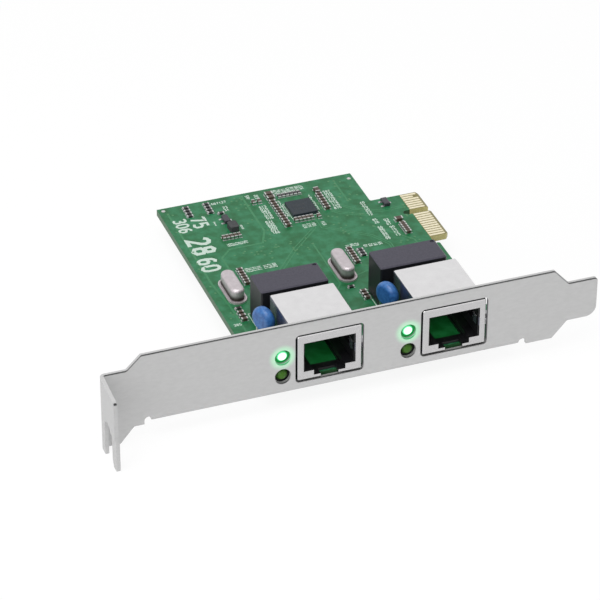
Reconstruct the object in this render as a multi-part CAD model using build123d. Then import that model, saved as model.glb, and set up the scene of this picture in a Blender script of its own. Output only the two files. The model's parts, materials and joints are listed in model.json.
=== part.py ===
from build123d import *
import math
import os

# Dual-port network card on a full-height slot bracket. Sizes are in millimetres.
# Everything is drawn from the bracket: x from the outside of its screw flange, y from its outer
# face into the card, z from the lower edge of its plate. The last step moves each piece to the
# card's own frame: origin at the edge connector, on the key notch's centre line, at mid-board.

# Bracket sheet and its outline
SHEET = 0.86
BEND_INSIDE = 0.4
BRACKET_LENGTH = 120.02
BRACKET_WIDTH = 18.42
TONGUE_LENGTH = 7.27
TONGUE_WIDTH = 10.19
TONGUE_TOP_ROUND = 0.8
TONGUE_FOOT_ROUND = 2.6
TONGUE_SHOULDER_ROUND = 0.7
CORNER_CUT = 3.7
FLANGE_DEPTH = 10.0
FLANGE_DROP = 3.35
FLANGE_TAPER = 0.9
FLANGE_FOOT = 4.2
FLANGE_CORNER_ROUND = 0.6
HEAD_FLAT = 6.2
HEAD_CUT = 3.4
SKIRT_DROP = 0.25
SKIRT_START = 4.3
SKIRT_END = 7.6

# Screw notch in the flange, and the step in its outer foot
NOTCH_WIDTH = 4.42
NOTCH_OFFSET = 4.75
NOTCH_CENTRE_HEIGHT = 3.65
NOTCH_FLARE = 0.9
FOOT_STEP = 0.3
FOOT_STEP_TOP = 4.45
FOOT_STEP_BOTTOM = 3.65

# Folded lower lip, its relief notches and the threaded ears
RELIEF_WIDTH = 1.9
RELIEF_HEIGHT = 1.6
RELIEF_ONE_X = 10.95
RELIEF_TWO_X = 101.6
LIP_REACH = 2.6
EAR_TWO_FROM_JACK = 3.08
EAR_WIDTH = 6.0
EAR_REACH = 10.6
EAR_THREAD_RADIUS = 1.25
EAR_COLLAR_RADIUS = 1.95
EAR_COLLAR_HEIGHT = 0.53

# Ports: places along the bracket
PORT_ONE_X = 54.07
PORT_PITCH = 30.35
WINDOW_CLEARANCE = 0.45
WINDOW_ROUND = 1.0

# Jack
JACK_WIDTH = 15.6
JACK_HEIGHT = 11.7
JACK_DEPTH = 18.5
JACK_SHEET = 0.25
JACK_EDGE_ROUND = 0.45
JACK_FIT = 0.05
MOUTH_WIDTH = 12.5
MOUTH_FLOOR = 1.97
MOUTH_TOP = 9.65
LATCH_WIDE = 7.6
LATCH_WIDE_FLOOR = 0.66
LATCH_NARROW = 4.3
CAVITY_WIDTH = 11.9
CAVITY_DEPTH = 14.0
BRIDGE_FRONT = 2.0
BRIDGE_BACK = 4.0
FLOOR_OPENING_WIDTH = 7.0
FLOOR_OPENING_END = 13.0
FINGER_LOW = 4.75
FINGER_HIGH = 6.95
FINGER_BULGE = 0.45
FINGER_CREST = 1.0
FINGER_LENGTH = 6.0
SHIELD_TAB_WIDTH = 1.6
SHIELD_TAB_Y = 9.4
PEG_RADIUS = 1.55
PEG_SPACING = 11.43
PEG_Y = 5.6
PEG_HOLE_CLEARANCE = 0.05
PEG_LENGTH = 2.4

# Contact wires of the jack
CONTACT_COUNT = 8
CONTACT_PITCH = 1.02
CONTACT_WIRE = 0.34
CONTACT_SLOT_CLEARANCE = 0.03
CONTACT_RAIL = 10.3
CONTACT_NOSE_Y = 2.2
CONTACT_TIP_Y = 9.6
CONTACT_TIP_Z = 6.75
CONTACT_TAIL_FRONT = 15.1
CONTACT_TAIL_BACK = 16.9

# Board
BOARD_THICKNESS = 1.6
BOARD_LEFT = 39.1
BOARD_FRONT = 1.6
BOARD_FAR = 79.95
BOARD_FAR_RIGHT = 89.65
BOARD_NEAR_RIGHT = 98.55
BOARD_NECK = 97.25
BOARD_RECESS_END = 42.9
BOARD_CORNER_ROUND = 0.5
LEAD_PROUD = 1.1

# Edge connector
CONNECTOR_EDGE = 102.1
KEY_Y = 58.01
KEY_WIDTH = 1.9
KEY_DEPTH = 6.9
LONG_SIDE = 11.2
SHORT_SIDE = 7.2
CONTACT_EDGE_PITCH = 1.0
FIRST_CONTACT_FROM_KEY = 1.5
LONG_SIDE_CONTACTS = 11
SHORT_SIDE_CONTACTS = 7
PAD_WIDTH = 0.7
PAD_START = 4.75
PAD_END = 0.75
PAD_SHORTENING = 1.1
PAD_THICKNESS = 0.04
BEVEL_DEPTH = 0.6
BEVEL_HEIGHT = 0.3
TAB_CORNER_CUT = 0.6

# Screws that hold the board to the ears
SCREW_HEAD_RADIUS = 2.7
SCREW_HEAD_HEIGHT = 1.9
SCREW_SHANK_RADIUS = 1.22
SCREW_HOLE_RADIUS = 1.6
SCREW_TIP_BELOW_EAR = 0.5
SCREW_CROSS_WIDTH = 0.7
SCREW_CROSS_LENGTH = 2.8
SCREW_CROSS_DEPTH = 1.1

# Transformer block
BLOCK_WIDTH = 16.5
BLOCK_DEPTH = 8.0
BLOCK_HEIGHT = 11.0
BLOCK_OFFSETS_X = (-0.65, -1.6)
BLOCK_FRONT = 20.9
BLOCK_EDGE_CUT = 0.3
BLOCK_DIMPLE_RADIUS = 0.45
BLOCK_DIMPLE_DEPTH = 0.25
BLOCK_DIMPLE_INSET = 0.95
BLOCK_PINS_PER_ROW = 12
BLOCK_PIN_PITCH = 1.27
BLOCK_ROW_SPACING = 5.6
BLOCK_PIN_WIDTH = 0.5
BLOCK_PIN_THICKNESS = 0.25

# Lamps beside each port
LAMP_FROM_JACK = 3.45
LAMP_LOWER_HEIGHT = 2.0
LAMP_PITCH = 5.08
LAMP_RADIUS = 1.6
LAMP_HOLE_RADIUS = 1.9
LAMP_BODY_LENGTH = 5.2
LAMP_RECESS = 0.1
LAMP_HOLDER_WIDTH = 4.6
LAMP_HOLDER_GAP = 0.3
LAMP_HOLDER_DEPTH = 7.6
LAMP_HOLDER_HEIGHT = 9.9
LAMP_LEAD_SPREAD = 2.54
LAMP_LEAD_WIDTH = 0.5
LAMP_LEAD_STEP = 1.6

# Disc capacitors
DISC_FROM_JACK = 2.3
DISC_Y = 16.0
DISC_RADIUS = 3.1
DISC_THICKNESS = 2.6
DISC_CENTRE_HEIGHT = 7.15
DISC_EDGE_ROUND = 1.15
DISC_TURN = 66.0
DISC_LEAD_SPACING = 4.2
DISC_LEAD_RADIUS = 0.3
DISC_LEAD_EMBED = 1.0

# Crystals
CRYSTAL_OFFSETS_X = (-9.57, -12.27)
CRYSTAL_Y = 39.25
CRYSTAL_LENGTH = 11.35
CRYSTAL_WIDTH = 4.65
CRYSTAL_BASE = 0.45
CRYSTAL_CAN_LENGTH = 10.0
CRYSTAL_CAN_WIDTH = 3.3
CRYSTAL_GROOVE_WIDTH = 0.3
CRYSTAL_GROOVE_DEPTH = 0.25
CRYSTAL_HEIGHT = 3.5
CRYSTAL_TOP_ROUND = 0.8
CRYSTAL_LEAD_SPACING = 4.88
CRYSTAL_LEAD_RADIUS = 0.22

# Flat chips
BRIDGE_X = 72.45
BRIDGE_Y = 68.3
BRIDGE_SIZE = 6.4
CHIP_HEIGHT = 0.85
CHIP_STANDOFF = 0.05
CHIP_TERMINAL_PITCH = 0.5
CHIP_TERMINAL_WIDTH = 0.26
CHIP_TERMINAL_OUT = 0.25
CHIP_TERMINAL_IN = 0.35
BRIDGE_TERMINALS = 10
CONTROLLER_SIZE = 6.0
CONTROLLER_TERMINALS = 8
CONTROLLER_Y = 37.0
CONTROLLER_OFFSET_X = 3.2

# Small parts: lengths, widths and heights of the case sizes
LARGE_CASE = (2.0, 1.25, 0.85)
SMALL_CASE = (1.55, 0.8, 0.75)
FLAT_CASE = (1.55, 0.8, 0.45)
CASE_END = 0.3
PACKAGE_LENGTH = 2.9
PACKAGE_WIDTH = 1.5
PACKAGE_HEIGHT = 1.05
PACKAGE_LEG_REACH = 0.6
PACKAGE_LEG_WIDTH = 0.42
PACKAGE_LEG_THICKNESS = 0.16
INDUCTOR_SIZE = 3.0
INDUCTOR_HEIGHT = 1.5
POWER_X = 53.35
POWER_Y = 69.4

# Rows of chip parts: case, first and last place from the row's anchor, pitch, and whether they lie along y
BRIDGE_CAPACITORS = (
    (SMALL_CASE, (-5.7, -6.3), (-5.7, 5.22), 1.28, False),
    (LARGE_CASE, (-5.45, 6.9), (-5.45, 8.65), 1.75, False),
    (SMALL_CASE, (-3.1, -4.8), (0.98, -4.8), 1.02, True),
    (SMALL_CASE, (2.75, -5.0), (2.75, -5.0), 1.0, True),
    (SMALL_CASE, (6.0, -2.1), (6.15, 4.4), 1.3, False),
    (LARGE_CASE, (6.35, 6.3), (6.35, 6.3), 1.0, True),
)
BRIDGE_RESISTORS = ((FLAT_CASE, (-3.15, 7.2), (1.95, 7.2), 1.02, True),)
POWER_CAPACITORS = (
    (SMALL_CASE, (-3.15, -7.6), (0.77, -7.6), 0.98, True),
    (SMALL_CASE, (9.0, 5.3), (10.45, 5.3), 1.45, True),
)
POWER_RESISTORS = (
    (FLAT_CASE, (-7.6, 4.7), (-7.48, 8.6), 1.3, False),
    (FLAT_CASE, (-2.35, 4.7), (-2.23, 8.6), 1.3, False),
    (FLAT_CASE, (-0.05, 3.5), (-0.05, 3.5), 1.0, False),
)
EDGE_CAPACITORS = (
    (SMALL_CASE, (-9.1, -8.71), (-9.1, -4.79), 0.98, False),
    (LARGE_CASE, (-9.2, -2.61), (-9.2, -2.61), 1.0, False),
)
PORT_ONE_CAPACITORS = (
    (SMALL_CASE, (-5.17, 41.2), (-5.07, 47.2), 1.2, False),
    (SMALL_CASE, (-10.87, 27.0), (-10.87, 30.0), 1.5, False),
)
PORT_TWO_CAPACITORS = (
    (SMALL_CASE, (-7.82, 41.0), (-7.72, 47.0), 1.2, False),
    (SMALL_CASE, (-11.12, 25.8), (-11.12, 28.6), 1.4, False),
)
PORT_ONE_RESISTORS = ((FLAT_CASE, (-10.67, 32.0), (-10.67, 32.0), 1.0, False),)
PORT_TWO_RESISTORS = (
    (FLAT_CASE, (-5.22, 43.6), (-5.22, 46.0), 1.2, False),
    (FLAT_CASE, (-13.02, 31.6), (-13.02, 31.6), 1.0, False),
)
INDUCTOR_FROM_POWER = (0.4, -4.1)
EDGE_PACKAGE_FROM_KEY = (-9.45, 5.59)

# Heights and places that follow
BOARD_BOTTOM = SHEET + EAR_COLLAR_HEIGHT
BOARD_TOP = BOARD_BOTTOM + BOARD_THICKNESS
BEND_OUTSIDE = BEND_INSIDE + SHEET
PORT_XS = (PORT_ONE_X, PORT_ONE_X + PORT_PITCH)
PORT_NAMES = ("a", "b")
LAMP_OFFSET_X = -JACK_WIDTH / 2 - LAMP_FROM_JACK
DISC_OFFSET_X = -JACK_WIDTH / 2 - DISC_FROM_JACK
BETWEEN_PORTS = (PORT_ONE_X + JACK_WIDTH / 2, PORT_XS[1] + LAMP_OFFSET_X - LAMP_HOLDER_WIDTH / 2)
EAR_XS = (sum(BETWEEN_PORTS) / 2, PORT_XS[1] + JACK_WIDTH / 2 + EAR_TWO_FROM_JACK)
EAR_HOLE_Y = EAR_REACH - EAR_WIDTH / 2
CRYSTAL_XS = tuple(x + offset for x, offset in zip(PORT_XS, CRYSTAL_OFFSETS_X))
LONG_SIDE_Y = KEY_Y - KEY_WIDTH / 2 - LONG_SIDE
SHORT_SIDE_Y = KEY_Y + KEY_WIDTH / 2 + SHORT_SIDE
LEAD_END = BOARD_BOTTOM - LEAD_PROUD
BEYOND = 1.0

TO_CARD_FRAME = Pos(-CONNECTOR_EDGE, -KEY_Y, -BOARD_BOTTOM - BOARD_THICKNESS / 2)


def block(x0, x1, y0, y1, z0, z1):
    """Rectangular solid between two corners."""
    middle = Pos((x0 + x1) / 2, (y0 + y1) / 2, (z0 + z1) / 2)
    return middle * Box(abs(x1 - x0), abs(y1 - y0), abs(z1 - z0))


def outline(*points):
    """Flat face inside a closed run of straight edges."""
    return make_face(Polyline(*points, close=True))


def along_x(face, low, high):
    """Extrudes a face drawn as (y, z) between two places on x."""
    return extrude(Plane.YZ.offset(low) * face, amount=high - low)


def along_y(face, low, high):
    """Extrudes a face drawn as (x, z) between two places on y."""
    return extrude(Plane.XZ.offset(-high) * face, amount=high - low)


def along_z(face, low, high):
    """Extrudes a face drawn as (x, y) between two places on z."""
    return extrude(Plane.XY.offset(low) * face, amount=high - low)


def spread(count, pitch):
    """Places of evenly spaced copies about zero."""
    return [(i - (count - 1) / 2) * pitch for i in range(count)]


# Bracket


def plate_outline():
    """Outline of the bracket's plate with its head, skirt, cut corners and tongue."""
    tongue_low = (BRACKET_WIDTH - TONGUE_WIDTH) / 2
    tongue_high = tongue_low + TONGUE_WIDTH
    shoulder = BRACKET_LENGTH - TONGUE_LENGTH
    head = BRACKET_WIDTH - FLANGE_DROP
    face = outline(
        (0, -FLANGE_FOOT),
        (SKIRT_START, -FLANGE_FOOT),
        (SKIRT_END, -SKIRT_DROP),
        (RELIEF_ONE_X, -SKIRT_DROP),
        (RELIEF_ONE_X, 0),
        (shoulder - CORNER_CUT, 0),
        (shoulder, tongue_low),
        (BRACKET_LENGTH, tongue_low),
        (BRACKET_LENGTH, tongue_high),
        (shoulder, tongue_high),
        (shoulder - CORNER_CUT, BRACKET_WIDTH),
        (HEAD_FLAT + HEAD_CUT, BRACKET_WIDTH),
        (HEAD_FLAT, head),
        (0, head),
    )
    rounds = (
        (BRACKET_LENGTH, tongue_low, TONGUE_FOOT_ROUND),
        (BRACKET_LENGTH, tongue_high, TONGUE_TOP_ROUND),
        (shoulder, tongue_low, TONGUE_SHOULDER_ROUND),
        (shoulder, tongue_high, TONGUE_SHOULDER_ROUND),
        (HEAD_FLAT, head, TONGUE_SHOULDER_ROUND),
    )
    for x, z, radius in rounds:
        corner = face.vertices().sort_by_distance((x, z, 0))[0]
        face = fillet(corner, radius)
    return face


def flange_outline():
    """Outline of the screw flange in (y, z), wide enough to leave the plate whole."""
    head = BRACKET_WIDTH - FLANGE_DROP
    face = outline(
        (-FLANGE_DEPTH, -FLANGE_FOOT),
        (SHEET + BEYOND, -FLANGE_FOOT),
        (SHEET + BEYOND, head),
        (0, head),
        (-FLANGE_DEPTH, head - FLANGE_TAPER),
    )
    for z in (-FLANGE_FOOT, head - FLANGE_TAPER):
        corner = face.vertices().sort_by_distance((-FLANGE_DEPTH, z, 0))[0]
        face = fillet(corner, FLANGE_CORNER_ROUND)
    return face - screw_notch_outline()


def screw_notch_outline():
    """U-notch that opens downward and flares at its mouth, in (y, z)."""
    half = NOTCH_WIDTH / 2
    mouth = -FLANGE_FOOT
    straight = outline(
        (-NOTCH_OFFSET - half - NOTCH_FLARE, mouth - BEYOND),
        (-NOTCH_OFFSET - half - NOTCH_FLARE, mouth),
        (-NOTCH_OFFSET - half, mouth + 2 * NOTCH_FLARE),
        (-NOTCH_OFFSET - half, NOTCH_CENTRE_HEIGHT),
        (-NOTCH_OFFSET + half, NOTCH_CENTRE_HEIGHT),
        (-NOTCH_OFFSET + half, mouth - BEYOND),
    )
    return straight + Pos(-NOTCH_OFFSET, NOTCH_CENTRE_HEIGHT) * Circle(half)


def flange_sheet():
    """Flange as bent sheet, with its outer foot stepped towards the chassis."""
    foot_inner = -NOTCH_OFFSET
    upper = block(0, SHEET, -FLANGE_DEPTH, SHEET, FOOT_STEP_TOP, BRACKET_WIDTH)
    inner_foot = block(0, SHEET, foot_inner, SHEET, -FLANGE_FOOT, FOOT_STEP_TOP)
    step = outline(
        (0, FOOT_STEP_TOP),
        (SHEET, FOOT_STEP_TOP),
        (SHEET + FOOT_STEP, FOOT_STEP_BOTTOM),
        (SHEET + FOOT_STEP, -FLANGE_FOOT),
        (FOOT_STEP, -FLANGE_FOOT),
        (FOOT_STEP, FOOT_STEP_BOTTOM),
    )
    return upper + inner_foot + along_y(step, -FLANGE_DEPTH, foot_inner)


def flange_and_plate():
    """Flange and plate joined by their bend, cut to the two outlines."""
    plate = block(0, BRACKET_LENGTH, 0, SHEET, -FLANGE_FOOT, BRACKET_WIDTH)
    sheet = flange_sheet() + plate
    outer_edge = sheet.edges().filter_by(Axis.Z).sort_by_distance((0, SHEET, BRACKET_WIDTH / 2))[0]
    sheet = fillet(outer_edge, BEND_OUTSIDE)
    inner_web = outline((SHEET, 0), (SHEET + BEND_INSIDE, 0), (SHEET, -BEND_INSIDE))
    inner_round = Pos(SHEET + BEND_INSIDE, -BEND_INSIDE) * Circle(BEND_INSIDE)
    sheet += along_z(inner_web - inner_round, -FLANGE_FOOT, BRACKET_WIDTH)
    plate_keep = along_y(plate_outline(), -FLANGE_DEPTH - BEYOND, SHEET + BEYOND)
    flange_keep = along_x(flange_outline(), -BEYOND, SHEET + FOOT_STEP + BEND_INSIDE)
    plate_side = block(
        SHEET + FOOT_STEP, BRACKET_LENGTH + BEYOND, -BEND_INSIDE, SHEET, -FLANGE_FOOT, BRACKET_WIDTH
    )
    return sheet & plate_keep & (flange_keep + plate_side)


def lip_profile(reach):
    """Lower edge of the sheet bent inward, in (y, z), out to a reach from the outer face."""
    top = BEND_OUTSIDE + BEND_INSIDE
    profile = outline((0, 0), (reach, 0), (reach, SHEET), (SHEET, SHEET), (SHEET, top), (0, top))
    profile = fillet(profile.vertices().sort_by_distance((0, 0, 0))[0], BEND_OUTSIDE)
    return fillet(profile.vertices().sort_by_distance((SHEET, SHEET, 0))[0], BEND_INSIDE)


def ear(x):
    """Threaded ear for one board screw, with a drawn collar that the board stands on."""
    centre = Pos(x, EAR_HOLE_Y)
    solid = block(x - EAR_WIDTH / 2, x + EAR_WIDTH / 2, BEND_OUTSIDE, EAR_HOLE_Y, 0, SHEET)
    solid += along_z(centre * Circle(EAR_WIDTH / 2), 0, SHEET)
    solid += along_z(centre * Circle(EAR_COLLAR_RADIUS), SHEET, BOARD_BOTTOM)
    return solid - along_z(centre * Circle(EAR_THREAD_RADIUS), -BEYOND, BOARD_BOTTOM + BEYOND)


def relief_notch(x):
    """Round-ended notch where the folded lip ends."""
    radius = RELIEF_WIDTH / 2
    centre = RELIEF_HEIGHT - radius
    slot = outline(
        (x - radius, -SKIRT_DROP - BEYOND),
        (x + radius, -SKIRT_DROP - BEYOND),
        (x + radius, centre),
        (x - radius, centre),
    )
    return along_y(slot + Pos(x, centre) * Circle(radius), -BEYOND, SHEET + BEYOND)


def port_window(x):
    """Rounded window for a jack."""
    width = JACK_WIDTH + 2 * WINDOW_CLEARANCE
    height = JACK_HEIGHT + 2 * WINDOW_CLEARANCE
    middle = BOARD_TOP + JACK_HEIGHT / 2
    return along_y(Pos(x, middle) * RectangleRounded(width, height, WINDOW_ROUND), -BEYOND, SHEET + BEYOND)


def lamp_hole(x, z):
    """Round hole for a lamp."""
    return along_y(Pos(x, z) * Circle(LAMP_HOLE_RADIUS), -BEYOND, SHEET + BEYOND)


def lamp_heights():
    """Heights of the two lamp axes above the board."""
    return (LAMP_LOWER_HEIGHT, LAMP_LOWER_HEIGHT + LAMP_PITCH)


def bracket():
    """Whole folded bracket as one sheet."""
    lip_low = RELIEF_ONE_X + RELIEF_WIDTH / 2
    lip_high = RELIEF_TWO_X - RELIEF_WIDTH / 2
    sheet = flange_and_plate()
    sheet -= block(lip_low, lip_high, -BEYOND, SHEET + BEYOND, -BEYOND, BEND_OUTSIDE + BEND_INSIDE)
    sheet += along_x(lip_profile(LIP_REACH), lip_low, lip_high)
    for x in EAR_XS:
        sheet += ear(x)
    for x in (RELIEF_ONE_X, RELIEF_TWO_X):
        sheet -= relief_notch(x)
    for x in PORT_XS:
        sheet -= port_window(x)
        for height in lamp_heights():
            sheet -= lamp_hole(x + LAMP_OFFSET_X, BOARD_TOP + height)
    return sheet


# Jack, drawn about its own middle, front face at y = 0, standing on z = 0


def mouth(width, back):
    """Space for a plug and its latch, from the front to a depth."""
    space = block(-width / 2, width / 2, -BEYOND, back, MOUTH_FLOOR, MOUTH_TOP)
    wide = LATCH_WIDE / 2
    return space + block(-wide, wide, -BEYOND, back, LATCH_WIDE_FLOOR, MOUTH_FLOOR + BEYOND)


def latch_notch(back):
    """Narrow lowest part of the latch opening, down to the board."""
    narrow = LATCH_NARROW / 2
    return block(-narrow, narrow, -BEYOND, back, -BEYOND, LATCH_WIDE_FLOOR + BEYOND)


def finger_outline(thickness):
    """Spring finger in (x, y): from the mouth's edge it bulges inward and lies back on the side."""
    edge = MOUTH_WIDTH / 2
    wall = JACK_WIDTH / 2 - JACK_SHEET
    path = Spline(
        (edge + thickness / 2, JACK_SHEET / 2),
        (edge - FINGER_BULGE + thickness / 2, FINGER_CREST),
        (wall - thickness / 2, FINGER_LENGTH),
        tangents=((-1, 1), (0.6, 1)),
    )
    return trace(path, line_width=thickness)


def jack_shield():
    """Folded can: front with the plug opening, top, sides, back, spring fingers and board tabs."""
    half = JACK_WIDTH / 2
    can = block(-half, half, 0, JACK_DEPTH, 0, JACK_HEIGHT)
    top_edges = can.edges().group_by(Axis.Z)[-1]
    uprights = can.edges().filter_by(Axis.Z)
    can = fillet(top_edges + uprights, JACK_EDGE_ROUND)
    inside = block(
        -half + JACK_SHEET,
        half - JACK_SHEET,
        JACK_SHEET,
        JACK_DEPTH - JACK_SHEET,
        -BEYOND,
        JACK_HEIGHT - JACK_SHEET,
    )
    can -= inside
    can -= mouth(MOUTH_WIDTH, JACK_SHEET + BEYOND) + latch_notch(JACK_SHEET + BEYOND)
    finger = along_z(finger_outline(JACK_SHEET), FINGER_LOW, FINGER_HIGH)
    can += finger + mirror(finger, Plane.YZ)
    for side in (-1, 1):
        can += block(
            side * half,
            side * (half - JACK_SHEET),
            SHIELD_TAB_Y - SHIELD_TAB_WIDTH / 2,
            SHIELD_TAB_Y + SHIELD_TAB_WIDTH / 2,
            -BOARD_THICKNESS - LEAD_PROUD,
            0,
        )
    return can


def contact_tail_y(index):
    """The wires' tails stand in two staggered rows."""
    return CONTACT_TAIL_BACK if index % 2 else CONTACT_TAIL_FRONT


def contact_outline(tail_y):
    """One contact wire in (y, z): tail up, forward along the roof, nose, back down into the cavity."""
    nose = CONTACT_RAIL - CONTACT_WIRE
    wire = Polyline(
        (tail_y, -BOARD_THICKNESS - LEAD_PROUD),
        (tail_y, CONTACT_RAIL),
        (CONTACT_NOSE_Y + CONTACT_WIRE, CONTACT_RAIL),
        (CONTACT_NOSE_Y, nose),
        (CONTACT_TIP_Y, CONTACT_TIP_Z),
    )
    return trace(wire, line_width=CONTACT_WIRE)


def contact_wire(index):
    """One contact wire in its place across the jack."""
    x = spread(CONTACT_COUNT, CONTACT_PITCH)[index]
    half = CONTACT_WIRE / 2
    return along_x(contact_outline(contact_tail_y(index)), x - half, x + half)


def jack_contacts():
    """All contact wires of one jack."""
    return [contact_wire(i) for i in range(CONTACT_COUNT)]


def contact_slot(index):
    """Groove in the insulator that one contact wire lies in."""
    x = spread(CONTACT_COUNT, CONTACT_PITCH)[index]
    half = CONTACT_WIRE / 2 + CONTACT_SLOT_CLEARANCE
    tail = contact_tail_y(index)
    roof = CONTACT_RAIL + half
    groove = block(x - half, x + half, CONTACT_NOSE_Y - CONTACT_WIRE, tail + half, MOUTH_TOP - BEYOND, roof)
    shaft = block(x - half, x + half, tail - half, tail + half, -BEYOND, roof)
    return groove + shaft


def jack_insulator():
    """Moulded insulator: plug cavity, latch channel, contact comb, finger pockets and board pegs."""
    half = JACK_WIDTH / 2 - JACK_SHEET - JACK_FIT
    front = JACK_SHEET + JACK_FIT
    back = JACK_DEPTH - JACK_SHEET - JACK_FIT
    body = block(-half, half, front, back, 0, JACK_HEIGHT - JACK_SHEET - JACK_FIT)
    body -= mouth(CAVITY_WIDTH, CAVITY_DEPTH) + latch_notch(BRIDGE_FRONT)
    channel = FLOOR_OPENING_WIDTH / 2
    body -= block(-channel, channel, BRIDGE_BACK, FLOOR_OPENING_END, -BEYOND, LATCH_WIDE_FLOOR + BEYOND)
    for side in (-1, 1):
        body -= block(
            side * (CAVITY_WIDTH / 2 - BEYOND),
            side * (half + BEYOND),
            0,
            FINGER_LENGTH + JACK_SHEET,
            FINGER_LOW - JACK_FIT,
            FINGER_HIGH + JACK_FIT,
        )
        peg = Pos(side * PEG_SPACING / 2, PEG_Y) * Circle(PEG_RADIUS)
        body += along_z(peg, -PEG_LENGTH, 0)
    for index in range(CONTACT_COUNT):
        body -= contact_slot(index)
    return body


# Transformer block, lamps and disc capacitor, each drawn about its own middle on the board


def transformer_case():
    """Moulded block with cut edges and a round mark in one corner of its top."""
    body = block(-BLOCK_WIDTH / 2, BLOCK_WIDTH / 2, -BLOCK_DEPTH / 2, BLOCK_DEPTH / 2, 0, BLOCK_HEIGHT)
    body = chamfer(body.edges().group_by(Axis.Z)[-1] + body.edges().filter_by(Axis.Z), BLOCK_EDGE_CUT)
    mark = Pos(BLOCK_WIDTH / 2 - BLOCK_DIMPLE_INSET, BLOCK_DEPTH / 2 - BLOCK_DIMPLE_INSET)
    return body - along_z(mark * Circle(BLOCK_DIMPLE_RADIUS), BLOCK_HEIGHT - BLOCK_DIMPLE_DEPTH, BLOCK_HEIGHT)


def transformer_pins():
    """Two rows of flat pins from the block's underside through the board."""
    pins = []
    for y in (-BLOCK_ROW_SPACING / 2, BLOCK_ROW_SPACING / 2):
        for x in spread(BLOCK_PINS_PER_ROW, BLOCK_PIN_PITCH):
            pins.append(
                block(
                    x - BLOCK_PIN_WIDTH / 2,
                    x + BLOCK_PIN_WIDTH / 2,
                    y - BLOCK_PIN_THICKNESS / 2,
                    y + BLOCK_PIN_THICKNESS / 2,
                    -BOARD_THICKNESS - LEAD_PROUD,
                    0,
                )
            )
    return pins


def lamp_lens(height):
    """Round-nosed lamp body, its nose just inside the bracket's outer face."""
    nose = LAMP_RECESS + LAMP_RADIUS
    barrel = along_y(Pos(0, height) * Circle(LAMP_RADIUS), nose, LAMP_BODY_LENGTH)
    return barrel + Pos(0, nose, height) * Sphere(LAMP_RADIUS)


def lamp_holder():
    """Upright holder behind the bracket with a bore for each lamp."""
    half = LAMP_HOLDER_WIDTH / 2
    front = SHEET + LAMP_HOLDER_GAP
    body = block(-half, half, front, LAMP_HOLDER_DEPTH, 0, LAMP_HOLDER_HEIGHT)
    body = chamfer(body.edges().group_by(Axis.Z)[-1], BLOCK_EDGE_CUT)
    for height in lamp_heights():
        body -= along_y(Pos(0, height) * Circle(LAMP_RADIUS), 0, LAMP_BODY_LENGTH)
    for lead in lamp_leads():
        body -= lead
    return body


def lamp_leads():
    """Two bent leads for each lamp: back through the holder, then down through the board."""
    leads = []
    half = LAMP_LEAD_WIDTH / 2
    for number, height in enumerate(lamp_heights()):
        drop_y = LAMP_BODY_LENGTH + LAMP_LEAD_WIDTH + number * LAMP_LEAD_STEP
        path = Polyline(
            (LAMP_BODY_LENGTH, height),
            (drop_y, height),
            (drop_y, -BOARD_THICKNESS - LEAD_PROUD),
        )
        for x in (-LAMP_LEAD_SPREAD / 2, LAMP_LEAD_SPREAD / 2):
            leads.append(along_x(trace(path, line_width=LAMP_LEAD_WIDTH), x - half, x + half))
    return leads


def disc_capacitor():
    """Dipped disc with a full round edge and a bore where each lead enters."""
    half = DISC_THICKNESS / 2
    disc = along_y(Circle(DISC_RADIUS), -half, half)
    disc = fillet(disc.edges().filter_by(GeomType.CIRCLE), DISC_EDGE_ROUND)
    body = Pos(0, 0, DISC_CENTRE_HEIGHT) * disc
    for lead in disc_leads():
        body -= lead
    return body


def disc_leads():
    """Two straight leads that stand in the disc's lower edge."""
    offset = DISC_LEAD_SPACING / 2
    rim_height = DISC_CENTRE_HEIGHT - math.sqrt(DISC_RADIUS**2 - offset**2)
    leads = []
    for x in (-offset, offset):
        wire = Pos(x, 0) * Circle(DISC_LEAD_RADIUS)
        leads.append(along_z(wire, -BOARD_THICKNESS - LEAD_PROUD, rim_height + DISC_LEAD_EMBED))
    return leads


def crystal_can():
    """Drawn can, long side along y, on a base flange whose rim stands up around it."""
    base = along_z(SlotOverall(CRYSTAL_LENGTH, CRYSTAL_WIDTH, rotation=90), 0, CRYSTAL_BASE)
    groove_length = CRYSTAL_CAN_LENGTH + 2 * CRYSTAL_GROOVE_WIDTH
    groove_width = CRYSTAL_CAN_WIDTH + 2 * CRYSTAL_GROOVE_WIDTH
    groove = SlotOverall(groove_length, groove_width, rotation=90)
    base -= along_z(groove, CRYSTAL_BASE - CRYSTAL_GROOVE_DEPTH, CRYSTAL_BASE)
    can = along_z(SlotOverall(CRYSTAL_CAN_LENGTH, CRYSTAL_CAN_WIDTH, rotation=90), 0, CRYSTAL_HEIGHT)
    can = fillet(can.edges().group_by(Axis.Z)[-1], CRYSTAL_TOP_ROUND)
    return base + can


def crystal_leads():
    """Two leads from the crystal's base through the board."""
    leads = []
    for y in (-CRYSTAL_LEAD_SPACING / 2, CRYSTAL_LEAD_SPACING / 2):
        leads.append(along_z(Pos(0, y) * Circle(CRYSTAL_LEAD_RADIUS), -BOARD_THICKNESS - LEAD_PROUD, 0))
    return leads


# Flat chips and small parts


def chip_body(size):
    """Flat moulded chip on its terminals."""
    half = size / 2
    body = block(-half, half, -half, half, CHIP_STANDOFF, CHIP_HEIGHT)
    return chamfer(body.edges().group_by(Axis.Z)[-1], CHIP_STANDOFF)


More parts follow.
